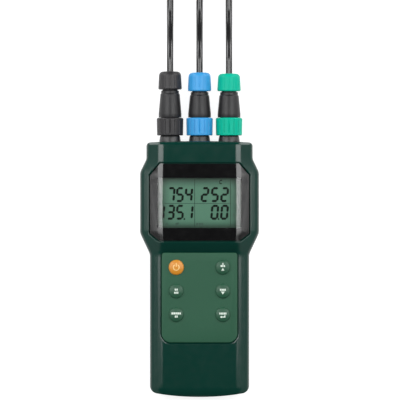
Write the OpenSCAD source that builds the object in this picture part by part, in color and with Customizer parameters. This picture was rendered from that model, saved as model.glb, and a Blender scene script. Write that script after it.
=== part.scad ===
// Handheld water quality meter with three plug-in probe leads.
// The meter lies on its back: +Z points out of its face and +Y towards its sockets.
// The origin is under the middle of the meter and its fittings, on the surface they lie on.
// Every length is in millimetres, and y is counted from the meter's lower end until place().

/* [Case] */
// Length of the case on its centre line
case_len = 169; // [167:0.5:171]
// Half width of the head, over the edge seam
head_hw = 39.2; // [38.8:0.1:40]
// Half width of the handle, over the edge seam
handle_hw = 32.7; // [32.5:0.1:33.5]
// Half width of the upper end, over the edge seam
top_hw = 35.05; // [34.5:0.05:36]
// Thickness of the case at the head
head_z = 43.4; // [43:0.1:45]
// Thickness of the case at the handle
handle_z = 40.4; // [40:0.1:41]
// Wall thickness of both shells
wall = 2.4; // [2.2:0.1:2.5]

/* [Display and keys] */
// Diameter of the power key
power_d = 10; // [9.7:0.1:10]
// Diameter of the other five keys
key_d = 9.7; // [9:0.1:9.9]
// Travel of a key
key_travel = 0.7; // [0.3:0.1:0.7]

/* [Connectors] */
// Distance between neighbouring sockets
socket_pitch = 19.45; // [19.3:0.05:20]
// Height of the socket axes above the back face
socket_z = 20; // [20:0.1:20.2]
// Outside diameter of the coupling nuts
nut_d = 17.6; // [17.4:0.1:18.4]
// Pins in each socket
pin_count = 5; // [3:1:5]

/* [Leads] */
// Diameter of the cable
cord_d = 4.4; // [4.2:0.1:4.4]
// Length of each cable from its gland nut to its probe
cord_len = 1000; // [980:5:1010]
// Turns in each hank
turns = 5; // [5:1:5]
// Diameter of the probe shafts
shaft_d = 12; // [11.5:0.1:12]

/* [Hidden] */

total_len = 214.9;
seam = 0.4;
part_z = 20;
gasket_t = 0.6;
plateau_hw = 26.2;
plateau_r = 8;
top_sag = 0.8;
board_z = 32.5;
board_t = 1.6;
board_top = board_z + board_t;
neck_r = 7.1;
pin_circle_r = 2.9;

// Recess for the window in the front shell, and the glue gap round the window
lens_hw = 33.2;
lens_y0 = 102.8;
lens_y1 = 154.3;
lens_t = 1.6;
lens_depth = 1.7;
lens_gap = 0.6;

// Display glass
lcd_z0 = 38;
lcd_z1 = 40.2;
lcd_y0 = 110;
lcd_y1 = 146.6;
lcd_hw = 28.4;

// Keypad panel and the key centres
panel_hw = 24.9;
panel_y0 = 36.2;
panel_y1 = 95.4;
panel_floor = 39;
panel_top = 41;
key_x = 15.3;
key_rows = [85.7, 70.1, 54.6];
key_flange_r = 6.2;

// Battery compartment: four AAA cells side by side
cell_d = 10.4;
cell_len = 43.3;
cell_y = 33;
cell_pitch = 10.9;
cell_z = 8.2;
cover_hw = 26;
cover_y0 = 22;
cover_y1 = 88;
cover_t = 2;
cover_gasket_t = 0.4;
cover_screw_y = [25.6, 84.4];

// Screws: six equal ones close the case and the battery cover, four small ones hold the board
screw_r = 1.45;
screw_len = 10;
screw_head_r = 2.7;
screw_head_h = 1.3;
case_screw_xy = [[24.5, 11.5], [33, 142]];
case_seat_z = 14;
board_screw_xy = [[25.5, 22], [26.5, 99.5]];

// Lead 0 is the dissolved oxygen one, 1 the conductivity one and 2 the pH one.
// Lower and upper end of each gland nut
gland_y0 = [202.7, 201.6, 201.6];
gland_y1 = [214.9, 214.2, 213.5];
// Radius of the folds of each hank
fold_r = [13.5, 13, 13.5];
// From the socket axis to the middle of each hank, across
hank_dx = [-13.5, 0, 13.5];
// From the socket axis to the run by which the cable enters and leaves the hank, across
run_dx = [0, 13, 0];
// Side on which the hank lies from that run
fold_side = [-1, -1, 1];
// Where the near folds begin
hank_y = [286, 290, 286];
// Radius of each probe's head, which is also the height of its axis
head_r = [8.5, 7.5, 8.5];

cord_r = cord_d / 2;
cord_start_y = 206.2;
tie_t = 1;
floor_z = tie_t + cord_r;
hank_h = (turns + 1) * cord_d;
top_z = floor_z + turns * cord_d;
boot_y = 380;
head_y = 402;
shaft_y = 420;
tip_end_y = 530;
// Where each cable starts and ends its way down from the socket's height to the surface
sag_y = [217, 261];
// Lengths along Y of the middle cable's swing to the side, and of each cable's way down to its probe
side_len = 28;
out_len = 34;

// ---------- shared functions and modules ----------

function unit(v) = v / norm(v);

// Points of a round of radius r in the corner b between a and c, in n steps
function corner(a, b, c, r, n) =
    let (u = unit(a - b), v = unit(c - b), half = acos(u * v) / 2,
         m = b + unit(u + v) * r / sin(half), p = b + u * r / tan(half) - m,
         q = b + v * r / tan(half) - m, a0 = atan2(p[1], p[0]),
         turn = (atan2(q[1], q[0]) - a0 + 900) % 360 - 180)
    [for (i = [0:n]) m + r * [cos(a0 + turn * i / n), sin(a0 + turn * i / n)]];

// A path of [x, y, r] points with every corner of r > 0 rounded
function rounded(p, n) = [for (i = [0:len(p) - 1])
    each (i == 0 || i == len(p) - 1 || p[i][2] == 0) ? [[p[i][0], p[i][1]]]
        : corner([p[i-1][0], p[i-1][1]], [p[i][0], p[i][1]], [p[i+1][0], p[i+1][1]], p[i][2], n)];

// A closed outline that is the same on both sides of x = 0, from its right-hand half
function both_sides(half) = concat(half, [for (i = [len(half) - 1:-1:0])
    if (half[i][0] > 0.001) [-half[i][0], half[i][1]]]);

// Place of a lead's socket, across
function socket_x(lead) = (lead - 1) * socket_pitch;

// Height of a shallow arc through 0 at x = 0 and sag at x = span
function shallow(x, span, sag) =
    let (r = (span * span + sag * sag) / (2 * sag)) r - sqrt(r * r - x * x);

// Right half of the case's outline, moved in by e
function case_half(e) = concat(
    [for (i = [0:5]) [i * (handle_hw - 6 - e) / 5, e + shallow(i * (handle_hw - 6 - e) / 5, handle_hw, 3.2)]],
    rounded([[handle_hw - 6 - e, 2.1 + e, 0], [handle_hw - e, 3 + e, 5.2 - e],
             [handle_hw - e, 94.2, 7], [head_hw - e, 108.1, 7], [head_hw - e, 148.5, 7],
             [top_hw - e, 157, 5], [top_hw - e, case_len - 1.1 - e, 2.6 - e / 2],
             [top_hw - 4 - e, case_len - top_sag - e, 0]], 5),
    [for (i = [4:-1:0]) [i * (top_hw - 6 - e) / 4,
                         case_len - e - shallow(i * (top_hw - 6 - e) / 4, top_hw - 4, top_sag)]]);

module case_prism(e, z0, z1) {
    translate([0, 0, z0])
        linear_extrude(z1 - z0)
            polygon(both_sides(case_half(e)));
}

// A solid through a list of rings of equal length, with flat ends
module loft(rings) {
    n = len(rings[0]);
    m = len(rings);
    points = [for (r = rings) each r];
    sides = [for (j = [0:m - 2]) for (i = [0:n - 1]) each
        [[j * n + i, j * n + (i + 1) % n, (j + 1) * n + (i + 1) % n],
         [j * n + i, (j + 1) * n + (i + 1) % n, (j + 1) * n + i]]];
    polyhedron(points, concat([[for (i = [n - 1:-1:0]) i]], sides, [[for (i = [0:n - 1]) (m - 1) * n + i]]));
}

// Cross-section of the front at one place: [y, half width, crest height, height at the side]
function front_ring(s, e) =
    let (p = rounded([[s[1] - e, 5, 0], [s[1] - e, s[3] - e, 4.5 - e],
                      [plateau_hw - e / 3, s[2] - e, plateau_r], [e / 3 - plateau_hw, s[2] - e, plateau_r],
                      [e - s[1], s[3] - e, 4.5 - e], [e - s[1], 5, 0]], 4))
    [for (i = [0:len(p) - 1]) [p[i][0], s[0], p[i][1]]];

front_sections = [
    [-1, handle_hw, 35.4, 32.4], [1, handle_hw, 38.6, 35.4], [3.5, handle_hw, 40, 36.8],
    [7, handle_hw, handle_z, 37.2], [94.2, handle_hw, handle_z, 37.2],
    [96, handle_hw + 0.85, handle_z, 37.2], [102.4, head_hw - 2.7, head_z, 37.4],
    [108.1, head_hw, head_z, 37.5], [148.5, head_hw, head_z, 37.5], [157, top_hw, head_z, 38.4],
    [164, top_hw, head_z - 0.1, 38.3], [167, top_hw, head_z - 1.1, 37.3], [170, top_hw, head_z - 4, 34.6]];

// Everything below the front surface, moved in by e
module under_front(e) {
    loft([for (s = front_sections) front_ring(s, e)]);
}

// Cross-section of the back at one place: [y, half width, height of the back]
function back_ring(s, e) =
    let (p = rounded([[e - s[1], 35, 0], [e - s[1], s[2] + e, 6 - e], [s[1] - e, s[2] + e, 6 - e],
                      [s[1] - e, 35, 0]], 5))
    [for (i = [0:len(p) - 1]) [p[i][0], s[0], p[i][1]]];

back_sections = [
    [-1, handle_hw, 5], [1, handle_hw, 2], [3.5, handle_hw, 0.5], [7, handle_hw, 0], [94.2, handle_hw, 0],
    [108.1, head_hw, 0], [148.5, head_hw, 0], [157, top_hw, 0], [163, top_hw, 0], [167, top_hw, 1.4],
    [170, top_hw, 4.4]];

module over_back(e) {
    loft([for (s = back_sections) back_ring(s, e)]);
}

// Moves the meter's own frame to the part's frame
module place() {
    translate([0, -total_len / 2, 0])
        children();
}

// A cylinder along +Y from y0 to y1
module rod(y0, y1, r, x = 0, z = 0, fn = 48) {
    translate([x, y0, z])
        rotate([-90, 0, 0])
            cylinder(h = y1 - y0, r = r, $fn = fn);
}

// A solid turned about the Y axis through x, z, from [radius, y] points
module turned(points, x, z, fn = 64) {
    translate([x, 0, z])
        rotate([-90, 0, 0])
            rotate_extrude($fn = fn)
                polygon(points);
}

module lens_outline(grow) {
    polygon(both_sides(rounded([[0, lens_y0 - grow, 0], [26.8 + grow / 2, lens_y0 - grow, 1.5],
        [lens_hw + grow, 107.7 - grow / 2, 1.5], [lens_hw + grow, 146.5 + grow / 2, 1.5],
        [26.3 + grow / 2, lens_y1 + grow, 1.5], [0, lens_y1 + grow, 0]], 4)));
}

module panel_outline(grow) {
    polygon(both_sides(rounded([[0, panel_y0 - grow, 0], [panel_hw + grow, panel_y0 - grow, 6 + grow],
        [panel_hw + grow, panel_y1 + grow, 2 + grow], [0, panel_y1 + grow, 0]], 6)));
}

// A block between two corners
module block(a, b) {
    translate(a)
        cube(b - a);
}

module both_x() {
    children();
    mirror([1, 0, 0])
        children();
}

module at_keys() {
    for (x = [-key_x, key_x], y = key_rows)
        translate([x, y, 0])
            children();
}

module at_sockets() {
    for (i = [-1:1])
        translate([i * socket_pitch, 0, socket_z])
            children();
}

// ---------- meter: shells and seals ----------

module front_case() {
    color("#12382f")
        place() {
            difference() {
                intersection() {
                    case_prism(seam, part_z + gasket_t / 2, 50);
                    under_front(0);
                }
                intersection() {
                    case_prism(seam + wall, part_z - 1, 49);
                    under_front(wall);
                }
                difference() {
                    translate([0, 0, 30])
                        linear_extrude(20)
                            lens_outline(0);
                    translate([0, 0, -lens_depth])
                        under_front(0);
                }
                block([-30.4, 105.6, 30], [30.4, 150.8, 50]);
                translate([0, 0, panel_floor])
                    linear_extrude(5)
                        panel_outline(0.3);
                hull() {
                    translate([0, 0, handle_z - 0.6])
                        linear_extrude(0.01)
                            panel_outline(0.3);
                    translate([0, 0, handle_z + 0.1])
                        linear_extrude(0.01)
                            panel_outline(1);
                }
                at_keys()
                    cylinder(h = 50, r = 5.4, $fn = 48);
                at_sockets()
                    rod(150, 175, neck_r + 0.1);
            }
            both_x()
                for (p = case_screw_xy)
                    screw_post(p, part_z + gasket_t / 2, 37.8, 3, 1.5);
            both_x()
                for (p = board_screw_xy)
                    screw_post(p, board_top, 38.4, 2.2, 1);
        }
}

// A post with a blind screw hole from below
module screw_post(p, z0, z1, r, hole_r) {
    translate([p[0], p[1], z0])
        difference() {
            cylinder(h = z1 - z0, r = r, $fn = 32);
            translate([0, 0, -1])
                cylinder(h = min(z1 - z0, 6.5), r = hole_r, $fn = 32);
        }
}

module back_case() {
    color("#12382f")
        place() {
            difference() {
                union() {
                    difference() {
                        intersection() {
                            case_prism(seam, -1, part_z - gasket_t / 2);
                            over_back(0);
                        }
                        intersection() {
                            case_prism(seam + wall, 0, 30);
                            over_back(wall);
                        }
                    }
                    block([-28.4, 20.4, 2], [28.4, 89.6, 4.4]);
                    both_x()
                        for (p = case_screw_xy)
                            translate([p[0], p[1], 1])
                                cylinder(h = part_z - gasket_t / 2 - 1, r = 4.2, $fn = 32);
                    for (y = cover_screw_y)
                        translate([0, y, 3])
                            cylinder(h = 10, r = 3.4, $fn = 32);
                    block([-24, 29.2, 4], [24, 30.2, 15]);
                    block([-24, 80.2, 4], [24, 81.2, 15]);
                }
                block([-cover_hw - 0.2, cover_y0 - 0.2, -1],
                      [cover_hw + 0.2, cover_y1 + 0.2, cover_t + cover_gasket_t]);
                block([-22.6, 30.2, -1], [22.6, 80.2, 10]);
                both_x()
                    for (p = case_screw_xy)
                        translate([p[0], p[1], -1]) {
                            cylinder(h = case_seat_z + 1, r = 3, $fn = 32);
                            cylinder(h = 30, r = 1.6, $fn = 32);
                        }
                for (y = cover_screw_y)
                    translate([0, y, -1])
                        cylinder(h = 13, r = 1.5, $fn = 32);
                at_sockets()
                    rod(150, 175, neck_r + 0.1);
            }
        }
}

module case_gasket() {
    color("#8d9390")
        place()
            difference() {
                case_prism(0, part_z - gasket_t / 2, part_z + gasket_t / 2);
                case_prism(seam + 1.7, part_z - 1, part_z + 1);
                at_sockets()
                    rod(150, 175, neck_r + 0.1);
            }
}

module display_window() {
    color("#101112")
        place()
            difference() {
                intersection() {
                    translate([0, 0, 30])
                        linear_extrude(20)
                            lens_outline(-lens_gap);
                    translate([0, 0, lens_t - lens_depth])
                        under_front(0);
                }
                translate([0, 0, -lens_depth])
                    under_front(0);
            }
}

// ---------- meter: display and board ----------

module lcd_glass() {
    color("#6d8f7c")
        place()
            block([-lcd_hw, lcd_y0, lcd_z0], [lcd_hw, lcd_y1, lcd_z1]);
}

module lcd_frame() {
    color("#202224")
        place()
            difference() {
                block([-29.6, 108.8, board_top], [29.6, 147.8, 39.4]);
                block([-lcd_hw - 0.1, lcd_y0 - 0.1, board_top - 1], [lcd_hw + 0.1, lcd_y1 + 0.1, 45]);
            }
}

module zebra_strips() {
    color("#d98aa0")
        place()
            for (y = [111, 143.2])
                block([-27, y, board_top], [27, y + 2.4, lcd_z0]);
}

module main_board() {
    color("#1f6b3a")
        place()
            difference() {
                translate([0, 0, board_z])
                    linear_extrude(board_t)
                        polygon(both_sides(rounded([[0, 15.5, 0], [28.4, 15.5, 2], [28.4, 97, 2],
                            [31, 101, 2], [31, 138, 1.5], [27, 138, 0.5], [27, 156, 2], [0, 156, 0]], 3)));
                both_x()
                    for (p = board_screw_xy)
                        translate([p[0], p[1], 0])
                            cylinder(h = 60, r = 1.2, $fn = 32);
            }
}

// Parts soldered to the underside of the board
module board_components() {
    color("#26282b")
        place() {
            block([-7, 118, board_z - 1.7], [7, 132, board_z]);
            block([-22, 120, board_z - 1.5], [-14, 128, board_z]);
            block([13, 118, board_z - 1.5], [20, 130, board_z]);
            block([-20, 140, board_z - 6], [-12, 150, board_z]);
            block([10, 140, board_z - 4], [18, 148, board_z]);
            translate([0, 100, board_z - 7])
                cylinder(h = 7, r = 6, $fn = 48);
            for (x = [-18, -9, 15])
                translate([x, 108, board_z - 8])
                    cylinder(h = 8, r = 3, $fn = 32);
            block([16, 60, board_z - 5], [22, 74, board_z]);
        }
}

module keypad_panel() {
    color("#3a664f")
        place()
            difference() {
                union() {
                    translate([0, 0, panel_floor])
                        linear_extrude(1.5)
                            panel_outline(0);
                    hull() {
                        translate([0, 0, panel_floor + 1.5])
                            linear_extrude(0.01)
                                panel_outline(0);
                        translate([0, 0, panel_top - 0.01])
                            linear_extrude(0.01)
                                panel_outline(-0.5);
                    }
                }
                at_keys()
                    cylinder(h = 60, r = 5.1, $fn = 64);
            }
}

// One key: a domed cap, the flange that stops it and the stem that meets the board
module key(column, row, d, tint) {
    r = d / 2;
    stem_z = board_top + key_travel + 0.1;
    color(tint)
        place()
            translate([column * key_x, key_rows[row], 0])
                rotate_extrude($fn = 64)
                    polygon(concat(
                        [[0, stem_z], [2, stem_z], [2, 36.3], [key_flange_r, 36.3], [key_flange_r, 37.3]],
                        rounded([[r, 37.3, 0], [r, 42, 0.8], [r * 0.5, 42.4, 0]], 4), [[0, 42.5]]));
}

module key_power() {
    key(-1, 0, power_d, "#f0a03c");
}

module key_mode() {
    key(-1, 1, key_d, "#3a664f");
}

module key_set() {
    key(-1, 2, key_d, "#3a664f");
}

module key_up() {
    key(1, 0, key_d, "#3a664f");
}

module key_down() {
    key(1, 1, key_d, "#3a664f");
}

module key_enter() {
    key(1, 2, key_d, "#3a664f");
}

// ---------- meter: batteries and screws ----------

module battery_cover() {
    color("#12382f")
        place()
            difference() {
                union() {
                    block([-cover_hw, cover_y0, 0], [cover_hw, cover_y1, cover_t]);
                    for (x = [-16.35, 0, 16.35])
                        block([x - 0.6, 32, cover_t - 0.1], [x + 0.6, 78, cover_t + 0.6]);
                }
                for (i = [0:7])
                    block([-12, 62 + i * 2.2, -1], [12, 63 + i * 2.2, 0.4]);
                for (y = cover_screw_y)
                    translate([0, y, 0]) {
                        translate([0, 0, -1])
                            cylinder(h = 2.4, r = 2.9, $fn = 32);
                        cylinder(h = 5, r = 1.6, $fn = 32);
                    }
            }
}

module battery_gasket() {
    color("#2a2a2c")
        place()
            difference() {
                block([-25.6, 22.4, cover_t], [25.6, 87.6, cover_t + cover_gasket_t]);
                block([-23.6, 29.6, 0], [23.6, 80.8, 5]);
                for (y = cover_screw_y)
                    translate([0, y, 0])
                        cylinder(h = 5, r = 1.8, $fn = 32);
            }
}

module batteries() {
    color("#b9975a")
        place()
            for (i = [0:3])
                translate([(i - 1.5) * cell_pitch, 0, 0]) {
                    flip = i % 2;
                    rod(cell_y + flip * 1.2, cell_y + flip * 1.2 + cell_len, cell_d / 2, 0, cell_z);
                    rod(cell_y + (1 - flip) * cell_len, cell_y + (1 - flip) * cell_len + 1.2, 2.7, 0, cell_z);
                }
}

module battery_contacts() {
    color("#c8c9cc")
        place()
            for (i = [0:3])
                translate([(i - 1.5) * cell_pitch, 0, 0]) {
                    block([-4, 30.3, 4.6], [4, 30.8, 13]);
                    block([-4, 79.6, 4.6], [4, 80.1, 13]);
                    flip = i % 2;
                    turned(flip == 0 ? [[0, 30.8], [3.6, 30.8], [2, 33], [0, 33]]
                                     : [[0, 77.5], [2, 77.5], [3.6, 79.6], [0, 79.6]], 0, cell_z, 32);
                }
}

// A pan-head screw with a cross recess, its head's underside at z = 0
module screw(r, len, head_r, head_h) {
    difference() {
        union() {
            cylinder(h = len, r = r, $fn = 32);
            translate([0, 0, -head_h])
                cylinder(h = head_h, r = head_r, $fn = 32);
        }
        for (a = [0, 90])
            rotate([0, 0, a])
                block([-head_r * 0.6, -0.3, -head_h - 1], [head_r * 0.6, 0.3, -head_h * 0.35]);
    }
}

module screws() {
    color("#b4b6ba")
        place() {
            both_x()
                for (p = case_screw_xy)
                    translate([p[0], p[1], case_seat_z])
                        screw(screw_r, screw_len, screw_head_r, screw_head_h);
            for (y = cover_screw_y)
                translate([0, y, 1.4])
                    screw(screw_r, screw_len, screw_head_r, screw_head_h);
        }
}

module board_screws() {
    color("#b4b6ba")
        place()
            both_x()
                for (p = board_screw_xy)
                    translate([p[0], p[1], board_z])
                        screw(0.95, 4.7, 2, 1.2);
}

// ---------- meter: sockets ----------

// A round socket: a flange inside the case, a plain neck and a collar for the coupling nut
module socket(lead) {
    color("#3e3f42")
        place()
            difference() {
                turned([[0, 156], [5.8, 156], [5.8, 163], [8.6, 163], [8.6, 165], [neck_r, 165],
                        [neck_r, 168.6], [6.6, 172.2], [6.6, 172.8], [7.3, 173.4], [7.3, 180.2],
                        [5, 180.2], [5, 170], [0, 170]], socket_x(lead), socket_z);
                at_pins(lead)
                    rod(150, 175, 0.55, 0, 0, 24);
            }
}

module at_pins(lead) {
    for (a = [0:pin_count - 1])
        translate([socket_x(lead) + pin_circle_r * cos(90 + a * 360 / pin_count), 0,
                   socket_z + pin_circle_r * sin(90 + a * 360 / pin_count)])
            children();
}

module socket_do() {
    socket(0);
}

module socket_ec() {
    socket(1);
}

module socket_ph() {
    socket(2);
}

module socket_pins() {
    color("#d8b45a")
        place()
            for (lead = [0:2])
                at_pins(lead)
                    rod(152, 177.4, 0.5, 0, 0, 24);
}

// ---------- leads: plug, coupling nut and gland nut ----------

module plug(lead) {
    y = gland_y0[lead];
    color("#3c3c3e")
        place()
            difference() {
                turned([[0, 171], [4.9, 171], [4.9, 180.6], [7.2, 180.6], [7.2, 181.4], [6, 181.4],
                        [6, 184.5], [7.55, 184.5], [7.55, 187], [6.4, y - 2.7], [5.8, y - 2.6], [5.8, y + 0.1],
                        [5, y + 0.1], [5, cord_start_y - 0.1], [0, cord_start_y - 0.1]],
                       socket_x(lead), socket_z);
                at_pins(lead)
                    rod(165, 183, 1, 0, 0, 24);
            }
}

module contacts(lead) {
    color("#d8b45a")
        place()
            at_pins(lead)
                difference() {
                    rod(171.4, 182.6, 0.95, 0, 0, 24);
                    rod(170, 178.5, 0.55, 0, 0, 24);
                }
}

// The ribbed nut that screws onto the socket and stays on the plug
module nut(lead, tint) {
    grooves = 16;
    color(tint)
        place()
            difference() {
                turned([[7.4, 172.6], [nut_d / 2 - 0.5, 172.6], [nut_d / 2, 173.1], [nut_d / 2, 183.8],
                        [nut_d / 2 - 0.5, 184.3], [6.1, 184.3], [6.1, 181.6], [7.4, 181.6]],
                       socket_x(lead), socket_z);
                for (i = [0:grooves - 1])
                    translate([socket_x(lead), 0, socket_z])
                        rotate([0, i * 360 / grooves, 0])
                            translate([0, 0, nut_d / 2 + 0.25])
                                rod(173.6, 183, 0.7, 0, 0, 24);
            }
}

// The domed, lightly fluted nut that grips the cable
module gland(lead, tint) {
    y0 = gland_y0[lead];
    y1 = gland_y1[lead];
    flutes = 14;
    color(tint)
        place()
            difference() {
                turned(concat([[5.1, y0 + 0.2], [7.3, y0 + 0.2]],
                    rounded([[7.6, y0 + 0.6, 0], [7.6, y0 + 1.4, 0], [7.15, y1 - 0.2, 2.8],
                             [cord_r + 0.1, y1, 0]], 6),
                    [[cord_r + 0.1, cord_start_y], [5.1, cord_start_y]]), socket_x(lead), socket_z);
                for (i = [0:flutes - 1])
                    translate([socket_x(lead), 0, socket_z])
                        rotate([0, i * 360 / flutes, 0])
                            translate([0, 0, 8])
                                rod(y0 + 1.4, y1 - 3, 0.8, 0, 0, 24);
            }
}

// ---------- leads: cable, hank and tie ----------

// Swings from 0 to 1 along an S of two equal arcs, as t goes from 0 to 1
function s_curve(t, len, rise) =
    let (r = (len * len + rise * rise) / (4 * rise), d = (t < 0.5 ? t : 1 - t) * len,
         h = r - sqrt(r * r - d * d))
    t < 0.5 ? h / rise : 1 - h / rise;

// Length that the same S adds to its plan
function s_extra(len, rise) =
    let (r = (len * len + rise * rise) / (4 * rise)) 2 * r * 2 * atan(rise / len) * PI / 180 - len;

// How far the cable moves on its way in and out of the hank
sag = socket_z - floor_z;
sag_len = sag_y[1] - sag_y[0];
function drop(lead) = norm([run_dx[lead], top_z - head_r[lead]]);
function in_extra(lead) = s_extra(sag_len, sag) + (run_dx[lead] > 0 ? s_extra(side_len, run_dx[lead]) : 0);

// Straight part of each hank, from the cable's length
function straight(lead) = (cord_len - (boot_y - gland_y1[lead]) - in_extra(lead)
    - s_extra(out_len, drop(lead)) - turns * 2 * PI * fold_r[lead]) / (2 * turns);

// The cable from its gland nut down to the surface and into the hank
function in_route(lead) = concat(
    [[0, cord_start_y, socket_z]],
    [for (t = [0:0.125:1]) [0, sag_y[0] + sag_len * t, socket_z - sag * s_curve(t, sag_len, sag)]],
    run_dx[lead] == 0 ? [[0, 272, floor_z], [0, hank_y[lead] - 4, floor_z]]
        : [for (t = [0.18:0.164:1]) [run_dx[lead] * s_curve(t, side_len, run_dx[lead]),
            hank_y[lead] - side_len * (1 - t), floor_z]]);

// The cable from the top of the hank down to its probe
function out_route(lead) =
    let (y1 = hank_y[lead] + straight(lead), y2 = boot_y - out_len)
    concat([[run_dx[lead], y1 - 1, top_z]],
        [for (t = [0:0.125:1]) [run_dx[lead] * (1 - s_curve(t, out_len, drop(lead))), y2 + out_len * t,
            top_z - (top_z - head_r[lead]) * s_curve(t, out_len, drop(lead))]]);

// A tube through a list of points, with its ends square to Y
module tube(route, x) {
    n = len(route);
    sides = 8;
    loft([for (i = [0:n - 1])
        let (a = route[max(i - 1, 0)], b = route[min(i + 1, n - 1)],
             t = (i == 0 || i == n - 1) ? [0, 1, 0] : unit(b - a),
             u = unit(cross(t, [0, 0, 1])), w = cross(u, t))
        [for (k = [0:sides - 1]) [x, 0, 0] + route[i]
            + cord_r * (cos(22.5 + 360 * k / sides) * u + sin(22.5 + 360 * k / sides) * w)]]);
}

module cord(lead) {
    color("#3a3a3c")
        place()
            tube(in_route(lead), socket_x(lead));
}

module tail(lead) {
    color("#3a3a3c")
        place()
            tube(out_route(lead), socket_x(lead));
}

module racetrack(lead, r) {
    y0 = hank_y[lead];
    hull()
        for (y = [y0, y0 + straight(lead)])
            translate([0, y])
                circle(r = r, $fn = 48);
}

// The folded cable, held by its tie: a racetrack of stacked turns
module hank(lead) {
    x = socket_x(lead) + hank_dx[lead];
    color("#3a3a3c")
        place()
            translate([x, 0, tie_t])
                linear_extrude(hank_h)
                    difference() {
                        racetrack(lead, fold_r[lead] + cord_r);
                        racetrack(lead, fold_r[lead] - cord_r);
                    }
}

// A band round the strands of the hank's outer run
module tie(lead) {
    x = socket_x(lead) + hank_dx[lead] + fold_side[lead] * fold_r[lead];
    y = hank_y[lead] + straight(lead) / 2;
    color("#1b1b1c")
        place()
            difference() {
                block([x - cord_r - 0.8, y - 5, 0], [x + cord_r + 0.8, y + 5, tie_t + hank_h + 0.9]);
                block([x - cord_r, y - 6, tie_t], [x + cord_r, y + 6, tie_t + hank_h]);
            }
}

// ---------- leads: probes ----------

module boot(lead) {
    r = head_r[lead];
    color("#2a2a2c")
        place()
            turned([[0, boot_y], [3.4, boot_y], [3.8, boot_y + 1], [r - 2.2, head_y - 5],
                    [r - 2.2, head_y - 4], [r - 1.2, head_y - 4], [r - 0.6, head_y], [0, head_y]],
                   socket_x(lead), r);
}

// Probe body: a head with two grip grooves and a plain shaft as far as y1, with a spigot for its tip
module probe(lead, y1, spigot_r, spigot_y, tint) {
    r = head_r[lead];
    color(tint)
        place()
            turned(concat([[0, head_y], [r - 0.5, head_y], [r, head_y + 0.5]],
                [for (y = [head_y + 4, head_y + 9])
                    each [[r, y], [r - 0.5, y + 0.4], [r - 0.5, y + 1.6], [r, y + 2]]],
                [[r, shaft_y - 2], [shaft_d / 2, shaft_y], [shaft_d / 2, y1], [spigot_r, y1],
                 [spigot_r, spigot_y], [0, spigot_y]]), socket_x(lead), r);
}

module do_probe() {
    probe(0, 500, 5, 514, "#2e2f31");
}

module ec_probe() {
    probe(1, 506, 4, 512, "#2e2f31");
}

module ph_probe() {
    probe(2, 504, 3.5, 505, "#2f5f8a");
}

// Screw-on cap with the oxygen membrane stretched over its open end
module do_tip() {
    r = head_r[0];
    grips = 20;
    color("#c9cbcc")
        place()
            difference() {
                turned([[5.1, 502], [r - 0.5, 502], [r, 502.5], [r, 516.5], [r - 0.5, 517], [7, 519],
                        [6.2, tip_end_y - 0.5], [5.7, tip_end_y], [3.4, tip_end_y], [3.2, tip_end_y - 0.3],
                        [0, tip_end_y - 0.5], [0, 514.2], [5.1, 514.2]],
                       -socket_pitch, r);
                for (i = [0:grips - 1])
                    translate([-socket_pitch, 0, r])
                        rotate([0, (i + 0.5) * 360 / grips, 0])
                            translate([0, 0, r + 0.5])
                                rod(504, 515.5, 0.9, 0, 0, 24);
            }
}

// Epoxy tip of the conductivity cell, with its two ring electrodes at the bottom of two grooves
module ec_tip() {
    r = 5.5;
    color("#17181a")
        place()
            turned(concat([[4.1, 506], [r, 506]],
                [for (y = [512.5, 519.5]) each [[r, y], [r - 0.3, y + 0.3], [r - 0.3, y + 2.7], [r, y + 3]]],
                [[r, tip_end_y - 2.5], [r - 0.6, tip_end_y - 0.8], [r - 2, tip_end_y], [0, tip_end_y],
                 [0, 512.1], [4.1, 512.1]]), 0, head_r[1]);
}

// Glass membrane bulb of the pH electrode
module ph_tip() {
    color("#cfe0e6")
        place()
            turned(concat([[0, 505], [3, 505], [3, 509]],
                [for (a = [-45:15:90]) [4.4 * cos(a), 512.8 + 4.4 * sin(a)]]), socket_pitch, head_r[2]);
}

// Soaking cap that keeps the bulb wet, with a ribbed collar
module ph_cap() {
    r = head_r[2];
    ribs = 24;
    color("#1d1e20")
        place()
            difference() {
                turned(concat([[6.05, 494], [r - 0.5, 494], [r, 494.5], [r, 499], [7.8, 500]],
                    rounded([[7.4, 504, 0], [7.4, 522, 2.5], [0, 522, 0]], 4), [[0, 518.4], [6.05, 518.4]]),
                       socket_pitch, r);
                for (i = [0:ribs - 1])
                    translate([socket_pitch, 0, r])
                        rotate([0, (i + 0.5) * 360 / ribs, 0])
                            translate([0, 0, r + 0.3])
                                rod(495, 498.6, 0.6, 0, 0, 16);
            }
}

module do_plug() {
    plug(0);
}

module do_contacts() {
    contacts(0);
}

module do_nut() {
    nut(0, "#3c3c3f");
}

module do_gland() {
    gland(0, "#505054");
}

module do_cord() {
    cord(0);
}

module do_hank() {
    hank(0);
}

module do_tail() {
    tail(0);
}

module do_tie() {
    tie(0);
}

module do_boot() {
    boot(0);
}

module ec_plug() {
    plug(1);
}

module ec_contacts() {
    contacts(1);
}

module ec_nut() {
    nut(1, "#3f9fec");
}

module ec_gland() {
    gland(1, "#59a4e0");
}

module ec_cord() {
    cord(1);
}

module ec_hank() {
    hank(1);
}

module ec_tail() {
    tail(1);
}

module ec_tie() {
    tie(1);
}

module ec_boot() {
    boot(1);
}

module ph_plug() {
    plug(2);
}

module ph_contacts() {
    contacts(2);
}

module ph_nut() {
    nut(2, "#03b897");
}

module ph_gland() {
    gland(2, "#03bd9e");
}

module ph_cord() {
    cord(2);
}

module ph_hank() {
    hank(2);
}

module ph_tail() {
    tail(2);
}

module ph_tie() {
    tie(2);
}

module ph_boot() {
    boot(2);
}

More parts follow.
